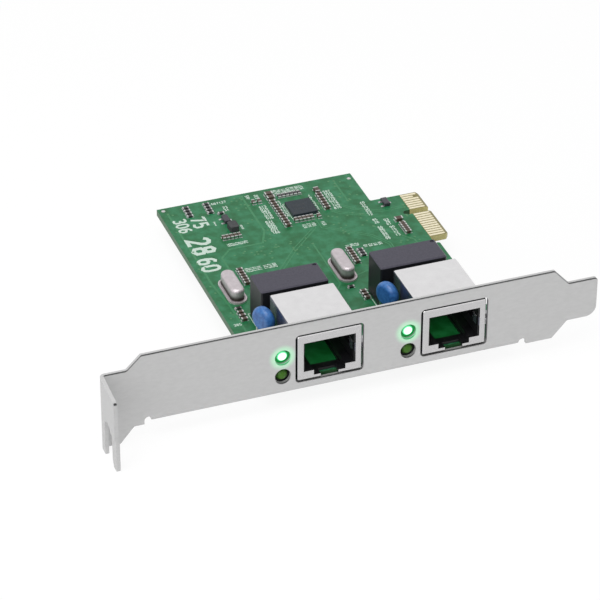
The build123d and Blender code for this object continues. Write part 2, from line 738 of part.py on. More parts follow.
def chip_terminals(size, count):
    """Terminals along the four sides of a flat chip, between it and the board."""
    terminals = []
    inner = size / 2 - CHIP_TERMINAL_IN
    outer = size / 2 + CHIP_TERMINAL_OUT
    half = CHIP_TERMINAL_WIDTH / 2
    for place in spread(count, CHIP_TERMINAL_PITCH):
        for side in (-1, 1):
            terminals.append(block(place - half, place + half, side * inner, side * outer, 0, CHIP_STANDOFF))
            terminals.append(block(side * inner, side * outer, place - half, place + half, 0, CHIP_STANDOFF))
    return terminals


def small_part(case, x, y, turned):
    """Body and two metal ends of a chip part; turned parts lie along y."""
    length, width, height = case
    middle = length / 2 - CASE_END
    turn = Pos(x, y, BOARD_TOP) * Rot(0, 0, 90 if turned else 0)
    body = turn * block(-middle, middle, -width / 2, width / 2, 0, height)
    ends = []
    for side in (-1, 1):
        end = block(side * middle, side * (middle + CASE_END), -width / 2, width / 2, 0, height)
        ends.append(turn * end)
    return body, ends


def chip_places(rows, anchor):
    """Case, place and turn of each chip part in rows laid out from an anchor."""
    places = []
    for case, first, last, pitch, turned in rows:
        steps = round(math.dist(first, last) / pitch)
        for i in range(steps + 1):
            share = i / steps if steps else 0
            x = anchor[0] + first[0] + share * (last[0] - first[0])
            y = anchor[1] + first[1] + share * (last[1] - first[1])
            places.append((case, x, y, turned))
    return places


def capacitor_places():
    """Ceramic capacitors, group by group over the board."""
    places = chip_places(BRIDGE_CAPACITORS, (BRIDGE_X, BRIDGE_Y))
    places += chip_places(POWER_CAPACITORS, (POWER_X, POWER_Y))
    places += chip_places(EDGE_CAPACITORS, (CONNECTOR_EDGE, KEY_Y))
    places += chip_places(PORT_ONE_CAPACITORS, (PORT_XS[0], 0))
    places += chip_places(PORT_TWO_CAPACITORS, (PORT_XS[1], 0))
    return places


def resistor_places():
    """Chip resistors, group by group over the board."""
    places = chip_places(BRIDGE_RESISTORS, (BRIDGE_X, BRIDGE_Y))
    places += chip_places(POWER_RESISTORS, (POWER_X, POWER_Y))
    places += chip_places(PORT_ONE_RESISTORS, (PORT_XS[0], 0))
    places += chip_places(PORT_TWO_RESISTORS, (PORT_XS[1], 0))
    return places


def package(x, y):
    """Three-legged package lying along y: body and legs."""
    move = Pos(x, y, BOARD_TOP)
    half_length = PACKAGE_LENGTH / 2
    half_width = PACKAGE_WIDTH / 2
    body = block(-half_width, half_width, -half_length, half_length, PACKAGE_LEG_THICKNESS, PACKAGE_HEIGHT)
    body = chamfer(body.edges().group_by(Axis.Z)[-1], PACKAGE_LEG_THICKNESS)
    legs = []
    half_leg = PACKAGE_LEG_WIDTH / 2
    reach = half_width + PACKAGE_LEG_REACH
    spacing = PACKAGE_LENGTH / 3
    for side, place in ((-1, -spacing), (-1, spacing), (1, 0)):
        inner = side * (half_width - half_leg)
        legs.append(
            block(inner, side * reach, place - half_leg, place + half_leg, 0, PACKAGE_LEG_THICKNESS)
        )
    return move * body, [move * leg for leg in legs]


def inductor(x, y):
    """Small wound inductor moulded as a block with cut corners."""
    half = INDUCTOR_SIZE / 2
    narrow = half * 0.75
    body = block(x - narrow, x + narrow, y - half, y + half, BOARD_TOP, BOARD_TOP + INDUCTOR_HEIGHT)
    return chamfer(body.edges().filter_by(Axis.Z), CASE_END)


def package_places():
    """One package by the power parts and one by the edge connector."""
    edge = (CONNECTOR_EDGE + EDGE_PACKAGE_FROM_KEY[0], KEY_Y + EDGE_PACKAGE_FROM_KEY[1])
    return ((POWER_X, POWER_Y), edge)


def screw(x):
    """Pan-head screw with a cross recess, seated on the board and threaded into the ear."""
    centre = Pos(x, EAR_HOLE_Y)
    head = along_z(centre * Circle(SCREW_HEAD_RADIUS), BOARD_TOP, BOARD_TOP + SCREW_HEAD_HEIGHT)
    head = chamfer(head.edges().group_by(Axis.Z)[-1], SCREW_HEAD_HEIGHT * 0.4)
    shank = along_z(centre * Circle(SCREW_SHANK_RADIUS), -SCREW_TIP_BELOW_EAR, BOARD_TOP)
    low = BOARD_TOP + SCREW_HEAD_HEIGHT - SCREW_CROSS_DEPTH
    high = BOARD_TOP + SCREW_HEAD_HEIGHT + BEYOND
    cross = centre * Rectangle(SCREW_CROSS_LENGTH, SCREW_CROSS_WIDTH)
    cross += centre * Rectangle(SCREW_CROSS_WIDTH, SCREW_CROSS_LENGTH)
    return head + shank - along_z(cross, low, high)


# Board


def board_blank():
    """Board outline with its recess, edge tab, key notch and bevelled connector edge."""
    face = outline(
        (BOARD_LEFT, BOARD_FRONT),
        (BOARD_NEAR_RIGHT, BOARD_FRONT),
        (BOARD_NEAR_RIGHT, BOARD_RECESS_END),
        (BOARD_NECK, BOARD_RECESS_END),
        (BOARD_NECK, LONG_SIDE_Y),
        (CONNECTOR_EDGE, LONG_SIDE_Y),
        (CONNECTOR_EDGE, SHORT_SIDE_Y),
        (BOARD_FAR_RIGHT, SHORT_SIDE_Y),
        (BOARD_FAR_RIGHT, BOARD_FAR),
        (BOARD_LEFT, BOARD_FAR),
    )
    rounded = (
        (BOARD_NEAR_RIGHT, BOARD_RECESS_END),
        (BOARD_NECK, BOARD_RECESS_END),
        (BOARD_NECK, LONG_SIDE_Y),
        (BOARD_FAR_RIGHT, SHORT_SIDE_Y),
    )
    for x, y in rounded:
        face = fillet(face.vertices().sort_by_distance((x, y, 0))[0], BOARD_CORNER_ROUND)
    for y in (LONG_SIDE_Y, SHORT_SIDE_Y):
        face = chamfer(face.vertices().sort_by_distance((CONNECTOR_EDGE, y, 0))[0], TAB_CORNER_CUT)
    radius = KEY_WIDTH / 2
    key_end = CONNECTOR_EDGE - KEY_DEPTH + radius
    key = outline(
        (key_end, KEY_Y - radius),
        (CONNECTOR_EDGE + BEYOND, KEY_Y - radius),
        (CONNECTOR_EDGE + BEYOND, KEY_Y + radius),
        (key_end, KEY_Y + radius),
    )
    face -= key + Pos(key_end, KEY_Y) * Circle(radius)
    blank = along_z(face, BOARD_BOTTOM, BOARD_TOP)
    for surface, side in ((BOARD_BOTTOM, 1), (BOARD_TOP, -1)):
        wedge = outline(
            (CONNECTOR_EDGE - BEVEL_DEPTH, surface),
            (CONNECTOR_EDGE + BEYOND, surface),
            (CONNECTOR_EDGE + BEYOND, surface + side * BEVEL_HEIGHT),
            (CONNECTOR_EDGE, surface + side * BEVEL_HEIGHT),
        )
        blank -= along_y(wedge, LONG_SIDE_Y - BEYOND, SHORT_SIDE_Y + BEYOND)
    return blank


def circuit_board(leads):
    """Board with screw holes, peg holes and a hole for each lead."""
    board = board_blank()
    cuts = []
    for x in EAR_XS:
        hole = Pos(x, EAR_HOLE_Y) * Circle(SCREW_HOLE_RADIUS)
        cuts.append(along_z(hole, BOARD_BOTTOM - BEYOND, BOARD_TOP + BEYOND))
    for x in PORT_XS:
        for side in (-1, 1):
            hole = Pos(x + side * PEG_SPACING / 2, PEG_Y) * Circle(PEG_RADIUS + PEG_HOLE_CLEARANCE)
            cuts.append(along_z(hole, BOARD_BOTTOM - BEYOND, BOARD_TOP + BEYOND))
    return board - cuts - leads


def contact_pads():
    """Gold pads on both faces of the edge tab; one on each face is short."""
    places = [KEY_Y - FIRST_CONTACT_FROM_KEY - i * CONTACT_EDGE_PITCH for i in range(LONG_SIDE_CONTACTS)]
    places += [KEY_Y + FIRST_CONTACT_FROM_KEY + i * CONTACT_EDGE_PITCH for i in range(SHORT_SIDE_CONTACTS)]
    short_on_top = LONG_SIDE_CONTACTS + SHORT_SIDE_CONTACTS - 2
    short_below = LONG_SIDE_CONTACTS - 1
    faces = (
        (BOARD_TOP, BOARD_TOP + PAD_THICKNESS, short_on_top),
        (BOARD_BOTTOM - PAD_THICKNESS, BOARD_BOTTOM, short_below),
    )
    pads = []
    for low, high, short in faces:
        for number, y in enumerate(places):
            end = PAD_END + PAD_SHORTENING if number == short else PAD_END
            pads.append(
                block(
                    CONNECTOR_EDGE - PAD_START,
                    CONNECTOR_EDGE - end,
                    y - PAD_WIDTH / 2,
                    y + PAD_WIDTH / 2,
                    low,
                    high,
                )
            )
    return pads


def placed(solids, location):
    """Copies of solids moved to a place."""
    return [location * solid for solid in solids]


def small_parts():
    """Capacitor bodies, resistor bodies and the metal ends of both."""
    bodies = {"chip_capacitors": [], "chip_resistors": []}
    ends = []
    for name, places in (("chip_capacitors", capacitor_places()), ("chip_resistors", resistor_places())):
        for case, x, y, turned in places:
            body, caps = small_part(case, x, y, turned)
            bodies[name].append(body)
            ends += caps
    return bodies, ends


def port_pieces(name, x, block_offset):
    """Every piece that belongs to one port, by node name."""
    on_board = Pos(x, 0, BOARD_TOP)
    lamps = Pos(x + LAMP_OFFSET_X, 0, BOARD_TOP)
    case = Pos(x + block_offset, BLOCK_FRONT + BLOCK_DEPTH / 2, BOARD_TOP)
    disc = Pos(x + DISC_OFFSET_X, DISC_Y, BOARD_TOP) * Rot(0, 0, -DISC_TURN)
    low, high = lamp_heights()
    return {
        f"jack_shield_{name}": [on_board * jack_shield()],
        f"jack_insulator_{name}": [on_board * jack_insulator()],
        f"jack_contacts_{name}": placed(jack_contacts(), on_board),
        f"transformer_case_{name}": [case * transformer_case()],
        f"transformer_pins_{name}": placed(transformer_pins(), case),
        f"lamp_holder_{name}": [lamps * lamp_holder()],
        f"lamp_upper_{name}": [lamps * lamp_lens(high)],
        f"lamp_lower_{name}": [lamps * lamp_lens(low)],
        f"lamp_leads_{name}": placed(lamp_leads(), lamps),
        f"disc_capacitor_{name}": [disc * disc_capacitor()],
        f"disc_leads_{name}": placed(disc_leads(), disc),
    }


def chip_pieces(body_name, x, y, size, count):
    """A flat chip and its terminals, by node name."""
    place = Pos(x, y, BOARD_TOP)
    return {
        body_name: [place * chip_body(size)],
        f"{body_name}_terminals": placed(chip_terminals(size, count), place),
    }


def all_pieces():
    """Every node of the card with its solids, drawn from the bracket."""
    pieces = {"bracket": [bracket()]}
    for number, x in enumerate(EAR_XS, start=1):
        pieces[f"bracket_screw_{number}"] = [screw(x)]
    for name, x, block_offset in zip(PORT_NAMES, PORT_XS, BLOCK_OFFSETS_X):
        pieces |= port_pieces(name, x, block_offset)
        controller_x = x + CONTROLLER_OFFSET_X
        pieces |= chip_pieces(
            f"controller_{name}", controller_x, CONTROLLER_Y, CONTROLLER_SIZE, CONTROLLER_TERMINALS
        )
    for name, x in zip(PORT_NAMES, CRYSTAL_XS):
        place = Pos(x, CRYSTAL_Y, BOARD_TOP)
        pieces[f"crystal_{name}"] = [place * crystal_can()]
        pieces[f"crystal_leads_{name}"] = placed(crystal_leads(), place)
    pieces |= chip_pieces("bridge_chip", BRIDGE_X, BRIDGE_Y, BRIDGE_SIZE, BRIDGE_TERMINALS)
    bodies, ends = small_parts()
    pieces |= bodies
    pieces["chip_part_ends"] = ends
    packages = [package(x, y) for x, y in package_places()]
    pieces["small_packages"] = [body for body, legs in packages]
    pieces["small_package_legs"] = [leg for body, legs in packages for leg in legs]
    pieces["inductor"] = [inductor(POWER_X + INDUCTOR_FROM_POWER[0], POWER_Y + INDUCTOR_FROM_POWER[1])]
    pieces["edge_contacts"] = contact_pads()
    pieces["circuit_board"] = [circuit_board(board_leads(pieces))]
    return pieces


def board_leads(pieces):
    """Solids that pass through the board in soldered holes."""
    leads = []
    for name, solids in pieces.items():
        if "_pins_" in name or "_leads_" in name or name.startswith("jack_contacts"):
            leads += solids
        if name.startswith("jack_shield"):
            leads += solids
    return leads


os.makedirs("parts", exist_ok=True)
for node, solids in all_pieces().items():
    moved = placed(solids, TO_CARD_FRAME)
    export_step(moved[0] if len(moved) == 1 else Compound(children=moved), f"parts/{node}.step")
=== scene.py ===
"""Looks of a dual-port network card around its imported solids. Places are in millimetres, in the
source's own terms: x and y from the bracket's corner, z from its lower edge."""

import json
import math
import random

import bmesh
import bpy
from mathutils import Matrix, Vector

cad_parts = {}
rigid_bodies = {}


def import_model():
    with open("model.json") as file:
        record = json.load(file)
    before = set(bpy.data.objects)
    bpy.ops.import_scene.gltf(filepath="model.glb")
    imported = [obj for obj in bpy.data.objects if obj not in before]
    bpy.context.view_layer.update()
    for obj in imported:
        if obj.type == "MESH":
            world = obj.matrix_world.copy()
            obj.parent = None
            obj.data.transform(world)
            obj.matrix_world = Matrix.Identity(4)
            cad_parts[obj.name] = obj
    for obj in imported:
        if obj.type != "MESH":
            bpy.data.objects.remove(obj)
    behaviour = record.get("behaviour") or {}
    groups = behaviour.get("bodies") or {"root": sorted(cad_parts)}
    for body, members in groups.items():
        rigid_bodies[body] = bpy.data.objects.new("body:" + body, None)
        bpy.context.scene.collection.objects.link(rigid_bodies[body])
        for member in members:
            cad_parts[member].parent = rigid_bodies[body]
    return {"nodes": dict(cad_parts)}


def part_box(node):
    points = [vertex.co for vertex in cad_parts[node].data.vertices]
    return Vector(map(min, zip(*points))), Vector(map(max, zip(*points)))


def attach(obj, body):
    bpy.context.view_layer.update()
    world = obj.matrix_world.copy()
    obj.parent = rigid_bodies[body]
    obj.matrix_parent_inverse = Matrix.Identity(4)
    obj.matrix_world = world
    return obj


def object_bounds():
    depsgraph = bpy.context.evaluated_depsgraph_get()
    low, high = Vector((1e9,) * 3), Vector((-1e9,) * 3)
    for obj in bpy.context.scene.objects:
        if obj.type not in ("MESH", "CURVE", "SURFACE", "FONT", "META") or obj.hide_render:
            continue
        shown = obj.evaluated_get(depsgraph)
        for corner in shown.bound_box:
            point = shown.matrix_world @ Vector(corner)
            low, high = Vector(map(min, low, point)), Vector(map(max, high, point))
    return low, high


MM = 0.001
PORTS = ("a", "b")

# Where the bracket's corner is in the row frame, and the board's two faces above it
CORNER = (-102.1, -58.01, -2.19)
BOARD_TOP = 2.99
BOARD_BOTTOM = 1.39
TAB_START_X = 97.25
RECESS_END_Y = 42.9
INK_HEIGHT = 0.02
COPPER_HEIGHT = 0.015

# Camera, as the photograph was taken
IMAGE_WIDTH = 600
FOCAL_PIXELS = 3254.4
SENSOR_WIDTH = 36.0
CAMERA_TARGET = (-45.97, -33.01, 4.79)
CAMERA_AZIMUTH = -20.354
CAMERA_ELEVATION = 33.545
CAMERA_ROLL = 0.203
CAMERA_DISTANCE = 754.6

# Lamp lenses, and the green light around a lit one, in millimetres from its axis
LENS_RADIUS = 1.6
SPILL_START = 1.9
SPILL_END = 3.7

# Back of the bracket's sheet, where the painted shade on the jack shield ends, and the reach of the painted
# shade line along the bracket's upper front edge
SHEET_BACK = 0.9
EDGE_SHADE_REACH = 0.7

# Heights of a crystal can above the board: its foot, its groove, below which the painted shade is darkest
# down to the foot, and where the painted shade on its sides begins
CAN_FOOT = 0.47
CAN_GROOVE = 0.9
CAN_BRIGHT_ABOVE = 2.2

# Studio
FLOOR_HALF_WIDTH = 3.0
FLOOR_WHITE_SHARE = 0.9
SURROUNDINGS = 0.45
PORT_LIGHT_POWER = 0.0008
PORT_LIGHT_COLOUR = (0.35, 1.0, 0.4)
PORT_LIGHT_AIM = (0.1, 0.8, -1.0)
PORT_LIGHT_BEHIND = 4.0
PORT_LIGHT_BELOW = 3.5

# Soft lamps: name, offset from the card and size in metres, and power
SOFT_LAMPS = (
    ("key", (-0.25, -0.2, 0.8), 0.7, 6.0),
    ("fill", (-0.7, -0.6, 0.25), 0.6, 3.0),
)


def card(x, y, z=0.0):
    """A place on the card, in millimetres from the bracket's corner, as a point of the row frame."""
    return Vector((x + CORNER[0], y + CORNER[1], z + CORNER[2])) * MM


def card_box(node):
    """Lowest and highest corner of a node, in card millimetres."""
    return [corner / MM - Vector(CORNER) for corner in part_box(node)]


def linear(red, green, blue):
    """A screen colour from 0 to 255 as the linear colour that a shader takes."""
    shares = [value / 255 for value in (red, green, blue)]
    return (*[((s + 0.055) / 1.055) ** 2.4 if s > 0.04 else s / 12.92 for s in shares], 1.0)


# Materials


def new_material(name, roughness, metallic=0.0):
    """A material with its node tree ready, and its shader."""
    material = bpy.data.materials.new(name)
    material.use_nodes = True
    shader = material.node_tree.nodes["Principled BSDF"]
    shader.inputs["Roughness"].default_value = roughness
    shader.inputs["Metallic"].default_value = metallic
    return material, shader


def join(owner, value, socket):
    """Links an output to a socket, or sets a number or colour on it."""
    if isinstance(value, bpy.types.NodeSocket):
        owner.node_tree.links.new(value, socket)
    else:
        socket.default_value = value


def place_node(material, stretch=(1.0, 1.0, 1.0)):
    """Object coordinates in millimetres, stretched along the axes."""
    nodes = material.node_tree.nodes
    coordinates = nodes.new("ShaderNodeTexCoord")
    mapping = nodes.new("ShaderNodeMapping")
    mapping.inputs["Scale"].default_value = [s / MM for s in stretch]
    join(material, coordinates.outputs["Object"], mapping.inputs["Vector"])
    return mapping.outputs["Vector"]


def noise(material, size, detail=3.0, stretch=(1.0, 1.0, 1.0)):
    """Noise with features about size millimetres across."""
    texture = material.node_tree.nodes.new("ShaderNodeTexNoise")
    texture.inputs["Scale"].default_value = 1.0 / size
    texture.inputs["Detail"].default_value = detail
    join(material, place_node(material, stretch), texture.inputs["Vector"])
    return texture.outputs["Fac"]


def ramp(material, value, stops):
    """Colour or grey that follows a value through stops of (place, colour)."""
    node = material.node_tree.nodes.new("ShaderNodeValToRGB")
    elements = node.color_ramp.elements
    for index, (place, colour) in enumerate(stops):
        element = elements[index] if index < 2 else elements.new(place)
        element.position = place
        element.color = colour
    join(material, value, node.inputs["Fac"])
    return node.outputs["Color"]


def grain_colours(material, value, dark, light):
    """Colour that wanders between two close values."""
    return ramp(material, value, ((0.3, dark), (0.7, light)))


def mix(material, share, first, second):
    """First colour where share is 0, second where it is 1."""
    node = material.node_tree.nodes.new("ShaderNodeMix")
    node.data_type = "RGBA"
    for socket, value in (("Factor", share), ("A", first), ("B", second)):
        join(material, value, node.inputs[socket])
    return node.outputs["Result"]


def maths(owner, operation, first, second=None, clamp=False):
    """Result of one operation on sockets or numbers."""
    node = owner.node_tree.nodes.new("ShaderNodeMath")
    node.operation = operation
    node.use_clamp = clamp
    join(owner, first, node.inputs[0])
    if second is not None:
        join(owner, second, node.inputs[1])
    return node.outputs["Value"]


def above(material, value, limit):
    """1 where a value is above a limit, otherwise 0."""
    return maths(material, "GREATER_THAN", value, limit)


def between(owner, value, start, end, low=0.0, high=1.0, kind="LINEAR"):
    """Runs from low to high as a value goes from start to end."""
    node = owner.node_tree.nodes.new("ShaderNodeMapRange")
    node.interpolation_type = kind
    for socket, limit in (("From Min", start), ("From Max", end), ("To Min", low), ("To Max", high)):
        node.inputs[socket].default_value = limit
    join(owner, value, node.inputs["Value"])
    return node.outputs["Result"]


def axis_value(material, vector, axis):
    """One coordinate of a vector."""
    node = material.node_tree.nodes.new("ShaderNodeSeparateXYZ")
    join(material, vector, node.inputs["Vector"])
    return node.outputs[axis]


def past(material, axis, place):
    """1 beyond a place in card millimetres along an axis, otherwise 0."""
    limit = place + CORNER["XYZ".index(axis)]
    return above(material, axis_value(material, place_node(material), axis), limit)


def facing(material, axis, kind="Normal"):
    """How far the surface faces along an axis, from -1 to 1."""
    geometry = material.node_tree.nodes.new("ShaderNodeNewGeometry")
    return axis_value(material, geometry.outputs[kind], axis)


def bump(material, shader, height, distance):
    """Relief of a height that moves the surface by distance millimetres."""
    node = material.node_tree.nodes.new("ShaderNodeBump")
    node.inputs["Distance"].default_value = distance * MM
    join(material, height, node.inputs["Height"])
    join(material, node.outputs["Normal"], shader.inputs["Normal"])


def grained(name, dark, light, roughness, size, metallic, relief, specular=0.5):
    """Surface whose colour and gloss wander between two close values, with fine relief."""
    material, shader = new_material(name, roughness, metallic)
    shader.inputs["Specular IOR Level"].default_value = specular
    colour = grain_colours(material, noise(material, size), linear(*dark), linear(*light))
    join(material, colour, shader.inputs["Base Color"])
    low, high = [(roughness + change,) * 3 + (1,) for change in (-0.06, 0.06)]
    join(material, grain_colours(material, noise(material, size * 5), low, high), shader.inputs["Roughness"])
    bump(material, shader, noise(material, size / 3), relief)
    return material


def board_material():
    """Green solder mask over mottled copper, bare laminate at the edges and on the tab."""
    material, shader = new_material("solder_mask", 0.38)
    shader.inputs["Specular IOR Level"].default_value = 0.3
    mottled = ramp(
        material,
        noise(material, 2.2, detail=6.0),
        ((0.32, linear(22, 92, 50)), (0.5, linear(32, 106, 66)), (0.68, linear(46, 120, 82))),
    )
    weave = noise(material, 0.25, detail=2.0, stretch=(1.0, 1.0, 6.0))
    laminate = grain_colours(material, weave, linear(112, 106, 62), linear(140, 132, 84))
    on_tab = maths(material, "MULTIPLY", past(material, "X", TAB_START_X), past(material, "Y", RECESS_END_Y))
    flat = above(material, maths(material, "ABSOLUTE", facing(material, "Z", "True Normal")), 0.7)
    fibres = noise(material, 0.3, detail=2.0, stretch=(0.3, 0.3, 3.0))
    board_edge = grain_colours(material, fibres, linear(30, 72, 40), linear(52, 96, 58))
    tab_edge = grain_colours(material, fibres, linear(180, 170, 108), linear(204, 196, 140))
    edge = mix(material, on_tab, board_edge, tab_edge)
    face = mix(material, on_tab, mottled, laminate)
    join(material, mix(material, flat, edge, face), shader.inputs["Base Color"])
    bump(material, shader, noise(material, 0.5, detail=4.0), 0.012)
    return material


def vector_maths(material, operation, first, second=None):
    """Result of one operation on vectors: a length, or else a vector."""
    node = material.node_tree.nodes.new("ShaderNodeVectorMath")
    node.operation = operation
    join(material, first, node.inputs[0])
    if second is not None:
        node.inputs[1].default_value = second
    return node.outputs["Value" if operation == "LENGTH" else "Vector"]


def axis_distance(material, centre):
    """Distance in millimetres from an axis along y through a centre."""
    place = material.node_tree.nodes.new("ShaderNodeTexCoord").outputs["Object"]
    offset = vector_maths(material, "SUBTRACT", place, centre)
    across = vector_maths(material, "MULTIPLY", offset, (1 / MM, 0, 1 / MM))
    return vector_maths(material, "LENGTH", across)


def lens_material(name, centre, core, body, rim, glow):
    """Diffused lamp lens: colour runs from its axis to its rim, and a lit one glows."""
    material, shader = new_material(name, 0.3)
    shader.inputs["Specular IOR Level"].default_value = 0.25
    reach = maths(material, "DIVIDE", axis_distance(material, centre), LENS_RADIUS)
    colour = ramp(material, reach, ((0.52, core), (0.86, rim), (0.7, body)))
    join(material, colour, shader.inputs["Base Color"])
    if glow:
        join(material, colour, shader.inputs["Emission Color"])
        shader.inputs["Emission Strength"].default_value = glow
    shader.inputs["Subsurface Weight"].default_value = 0.1
    shader.inputs["Subsurface Scale"].default_value = MM
    bump(material, shader, noise(material, 0.2), 0.004)
    return material


def lamp_spill(material, shader, colour, strength, back):
    """Green light on a surface around each lit lamp, as far back as a place along y."""
    rings = []
    for port in PORTS:
        low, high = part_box("lamp_upper_" + port)
        distance = axis_distance(material, (low + high) / 2)
        rings.append(between(material, distance, SPILL_END, SPILL_START, high=strength, kind="SMOOTHSTEP"))
    around = maths(material, "ADD", *rings)
    in_front = maths(material, "SUBTRACT", around, past(material, "Y", back), clamp=True)
    shader.inputs["Emission Color"].default_value = colour
    join(material, in_front, shader.inputs["Emission Strength"])


def holder_material():
    """Black lamp holder with green light around each lit lamp."""
    material, shader = new_material("lamp_holder", 0.5)
    grain = noise(material, 0.5)
    black = grain_colours(material, grain, linear(10, 11, 12), linear(20, 21, 22))
    join(material, black, shader.inputs["Base Color"])
    lamp_spill(material, shader, linear(10, 140, 60), 0.9, back=1.5)
    bump(material, shader, grain, 0.01)
    return material


def shield_material():
    """Bright tinplate: its top painted lighter than its front as if lit from above, painted shade on its
    upright sides, and painted shade where it passes the bracket.
    """
    material, shader = new_material("tinplate", 0.26, 0.75)
    grain = noise(material, 2.5)
    bright = grain_colours(material, grain, linear(213, 212, 213), linear(218, 217, 218))
    # painted shade on the upright sides
    shaded_sides = grain_colours(material, grain, linear(84, 86, 98), linear(98, 100, 112))
    on_side = above(material, maths(material, "ABSOLUTE", facing(material, "X")), 0.75)
    lit_from_above = above(material, facing(material, "Z"), 0.5)
    not_front = above(material, facing(material, "Y"), -0.5)
    # painted shade where the shield passes through the bracket's sheet
    window_shade = maths(material, "SUBTRACT", not_front, past(material, "Y", SHEET_BACK), clamp=True)
    # the top painted lighter than the front, as lit from above
    face = mix(material, lit_from_above, linear(192, 191, 192), bright)
    walls = mix(material, on_side, face, shaded_sides)
    join(material, mix(material, window_shade, walls, linear(38, 38, 42)), shader.inputs["Base Color"])
    bump(material, shader, grain, 0.001)
    return material


def can_material():
    """Drawn nickel can: bright top, and painted shade that darkens its walls towards the groove round its
    foot.
    """
    material, shader = new_material("nickel", 0.5, 0.7)
    grain = noise(material, 1.5)
    bright = grain_colours(material, grain, linear(182, 174, 177), linear(198, 191, 194))
    dark = grain_colours(material, grain, linear(52, 48, 44), linear(70, 66, 60))
    board_top = BOARD_TOP + CORNER[2]
    height = axis_value(material, place_node(material), "Z")
    # painted shade on the sides, darkening down to the groove
    wall_shade = between(material, height, board_top + CAN_BRIGHT_ABOVE, board_top + CAN_GROOVE, kind="SMOOTHSTEP")
    past_foot = above(material, height, board_top + CAN_FOOT)
    body = mix(material, wall_shade, bright, dark)
    join(material, mix(material, past_foot, bright, body), shader.inputs["Base Color"])
    bump(material, shader, grain, 0.002)
    return material


def bracket_material():
    """Satin sheet with painted shade along its upper front edge, and green light around each lit lamp."""
    material, shader = new_material("sheet_steel", 0.5, 0.6)
    grain = noise(material, 0.6, stretch=(0.4, 1.0, 1.0))
    satin = grain_colours(material, grain, linear(186, 186, 186), linear(191, 191, 191))
    rounded = material.node_tree.nodes.new("ShaderNodeBevel")
    rounded.samples = 8
    rounded.inputs["Radius"].default_value = EDGE_SHADE_REACH * MM
    front, top = [axis_value(material, rounded.outputs["Normal"], axis) for axis in "YZ"]
    # painted shade along the rounded upper front edge
    edge = between(material, maths(material, "MULTIPLY", front, top), -0.15, -0.4)
    join(material, mix(material, edge, satin, linear(34, 34, 36)), shader.inputs["Base Color"])
    lamp_spill(material, shader, linear(70, 255, 150), 0.35, back=0.4)
    bump(material, shader, grain, 0.002)
    return material


def block_material():
    """Moulded epoxy of a transformer block: its top painted paler than its sides, as a painted highlight from
    the light above.
    """
    material, shader = new_material("block_epoxy", 0.42)
    shader.inputs["Specular IOR Level"].default_value = 0.35
    grain = noise(material, 0.35)
    side = grain_colours(material, grain, linear(16, 17, 21), linear(26, 27, 32))
    # painted highlight: the top paler than the black sides, as lit from above
    top = grain_colours(material, grain, linear(54, 52, 64), linear(66, 64, 76))
    lit_from_above = above(material, facing(material, "Z"), 0.5)
    join(material, mix(material, lit_from_above, side, top), shader.inputs["Base Color"])
    bump(material, shader, grain, 0.012)
    return material


# Plain grained surfaces: dark and light colour, roughness, grain size, metallic, relief, and gloss if not 0.5
GRAINED = {
    "screw_steel": ((178, 178, 180), (206, 206, 208), 0.28, 0.4, 1.0, 0.004),
    "gold_plate": ((226, 216, 184), (240, 232, 206), 0.3, 0.5, 0.7, 0.004),
    "insulator": ((12, 12, 14), (22, 22, 26), 0.42, 0.5, 0.0, 0.01),
    "epoxy": ((40, 40, 47), (52, 52, 60), 0.36, 0.35, 0.0, 0.012),
    "chip_epoxy": ((30, 38, 44), (42, 50, 58), 0.4, 0.35, 0.0, 0.01, 0.25),
    "tin": ((176, 178, 178), (216, 216, 214), 0.3, 0.3, 1.0, 0.01),
    "solder": ((168, 172, 174), (214, 216, 216), 0.26, 0.5, 1.0, 0.02),
    "blue_dip": ((34, 84, 146), (60, 116, 180), 0.32, 0.8, 0.0, 0.02),
    "ceramic": ((52, 42, 36), (84, 68, 56), 0.45, 0.3, 0.0, 0.01),
    "glaze": ((20, 20, 22), (40, 40, 42), 0.3, 0.3, 0.0, 0.01),
    "ferrite": ((34, 36, 38), (58, 60, 62), 0.6, 0.2, 0.0, 0.03),
    "ink": ((176, 196, 184), (204, 218, 208), 0.6, 0.2, 0.0, 0.005),
    "masked_copper": ((32, 110, 64), (48, 124, 80), 0.38, 0.6, 0.0, 0.006),
    "via": ((44, 110, 66), (70, 128, 82), 0.36, 0.3, 0.0, 0.006),
}


def make_materials():
    """Every material of the card by name, apart from the lenses."""
    made = {
        "sheet_steel": bracket_material(),
        "solder_mask": board_material(),
        "tinplate": shield_material(),
        "block_epoxy": block_material(),
        "nickel": can_material(),
        "holder": holder_material(),
    }
    for name, surface in GRAINED.items():
        made[name] = grained(name, *surface)
    return made


# Material of each node, by the start of its name
NODE_MATERIALS = (
    ("bracket_screw", "screw_steel"),
    ("bracket", "sheet_steel"),
    ("circuit_board", "solder_mask"),
    ("edge_contacts", "gold_plate"),
    ("jack_shield", "tinplate"),
    ("jack_insulator", "insulator"),
    ("jack_contacts", "gold_plate"),
    ("transformer_case", "block_epoxy"),
    ("transformer_pins", "tin"),
    ("lamp_holder", "holder"),
    ("lamp_leads", "tin"),
    ("disc_capacitor", "blue_dip"),
    ("disc_leads", "tin"),
    ("crystal_leads", "tin"),
    ("crystal", "nickel"),
    ("chip_capacitors", "ceramic"),
    ("chip_resistors", "glaze"),
    ("chip_part_ends", "tin"),
    ("inductor", "ferrite"),
    ("small_package_legs", "tin"),
    ("small_packages", "epoxy"),
    ("controller", "chip_epoxy"),
    ("bridge_chip", "chip_epoxy"),
)

# Widths of the soft edges that moulded and folded pieces have, in millimetres
EDGE_WIDTHS = (
    ("bracket_screw", 0.06),
    ("bracket", 0.16),
    ("circuit_board", 0.05),
    ("jack_shield", 0.05),
    ("jack_insulator", 0.06),
    ("transformer_case", 0.12),
    ("lamp_holder", 0.1),
    ("chip_part_ends", 0.05),
    ("chip_capacitors", 0.04),
    ("small_packages", 0.04),
    ("inductor", 0.12),
)


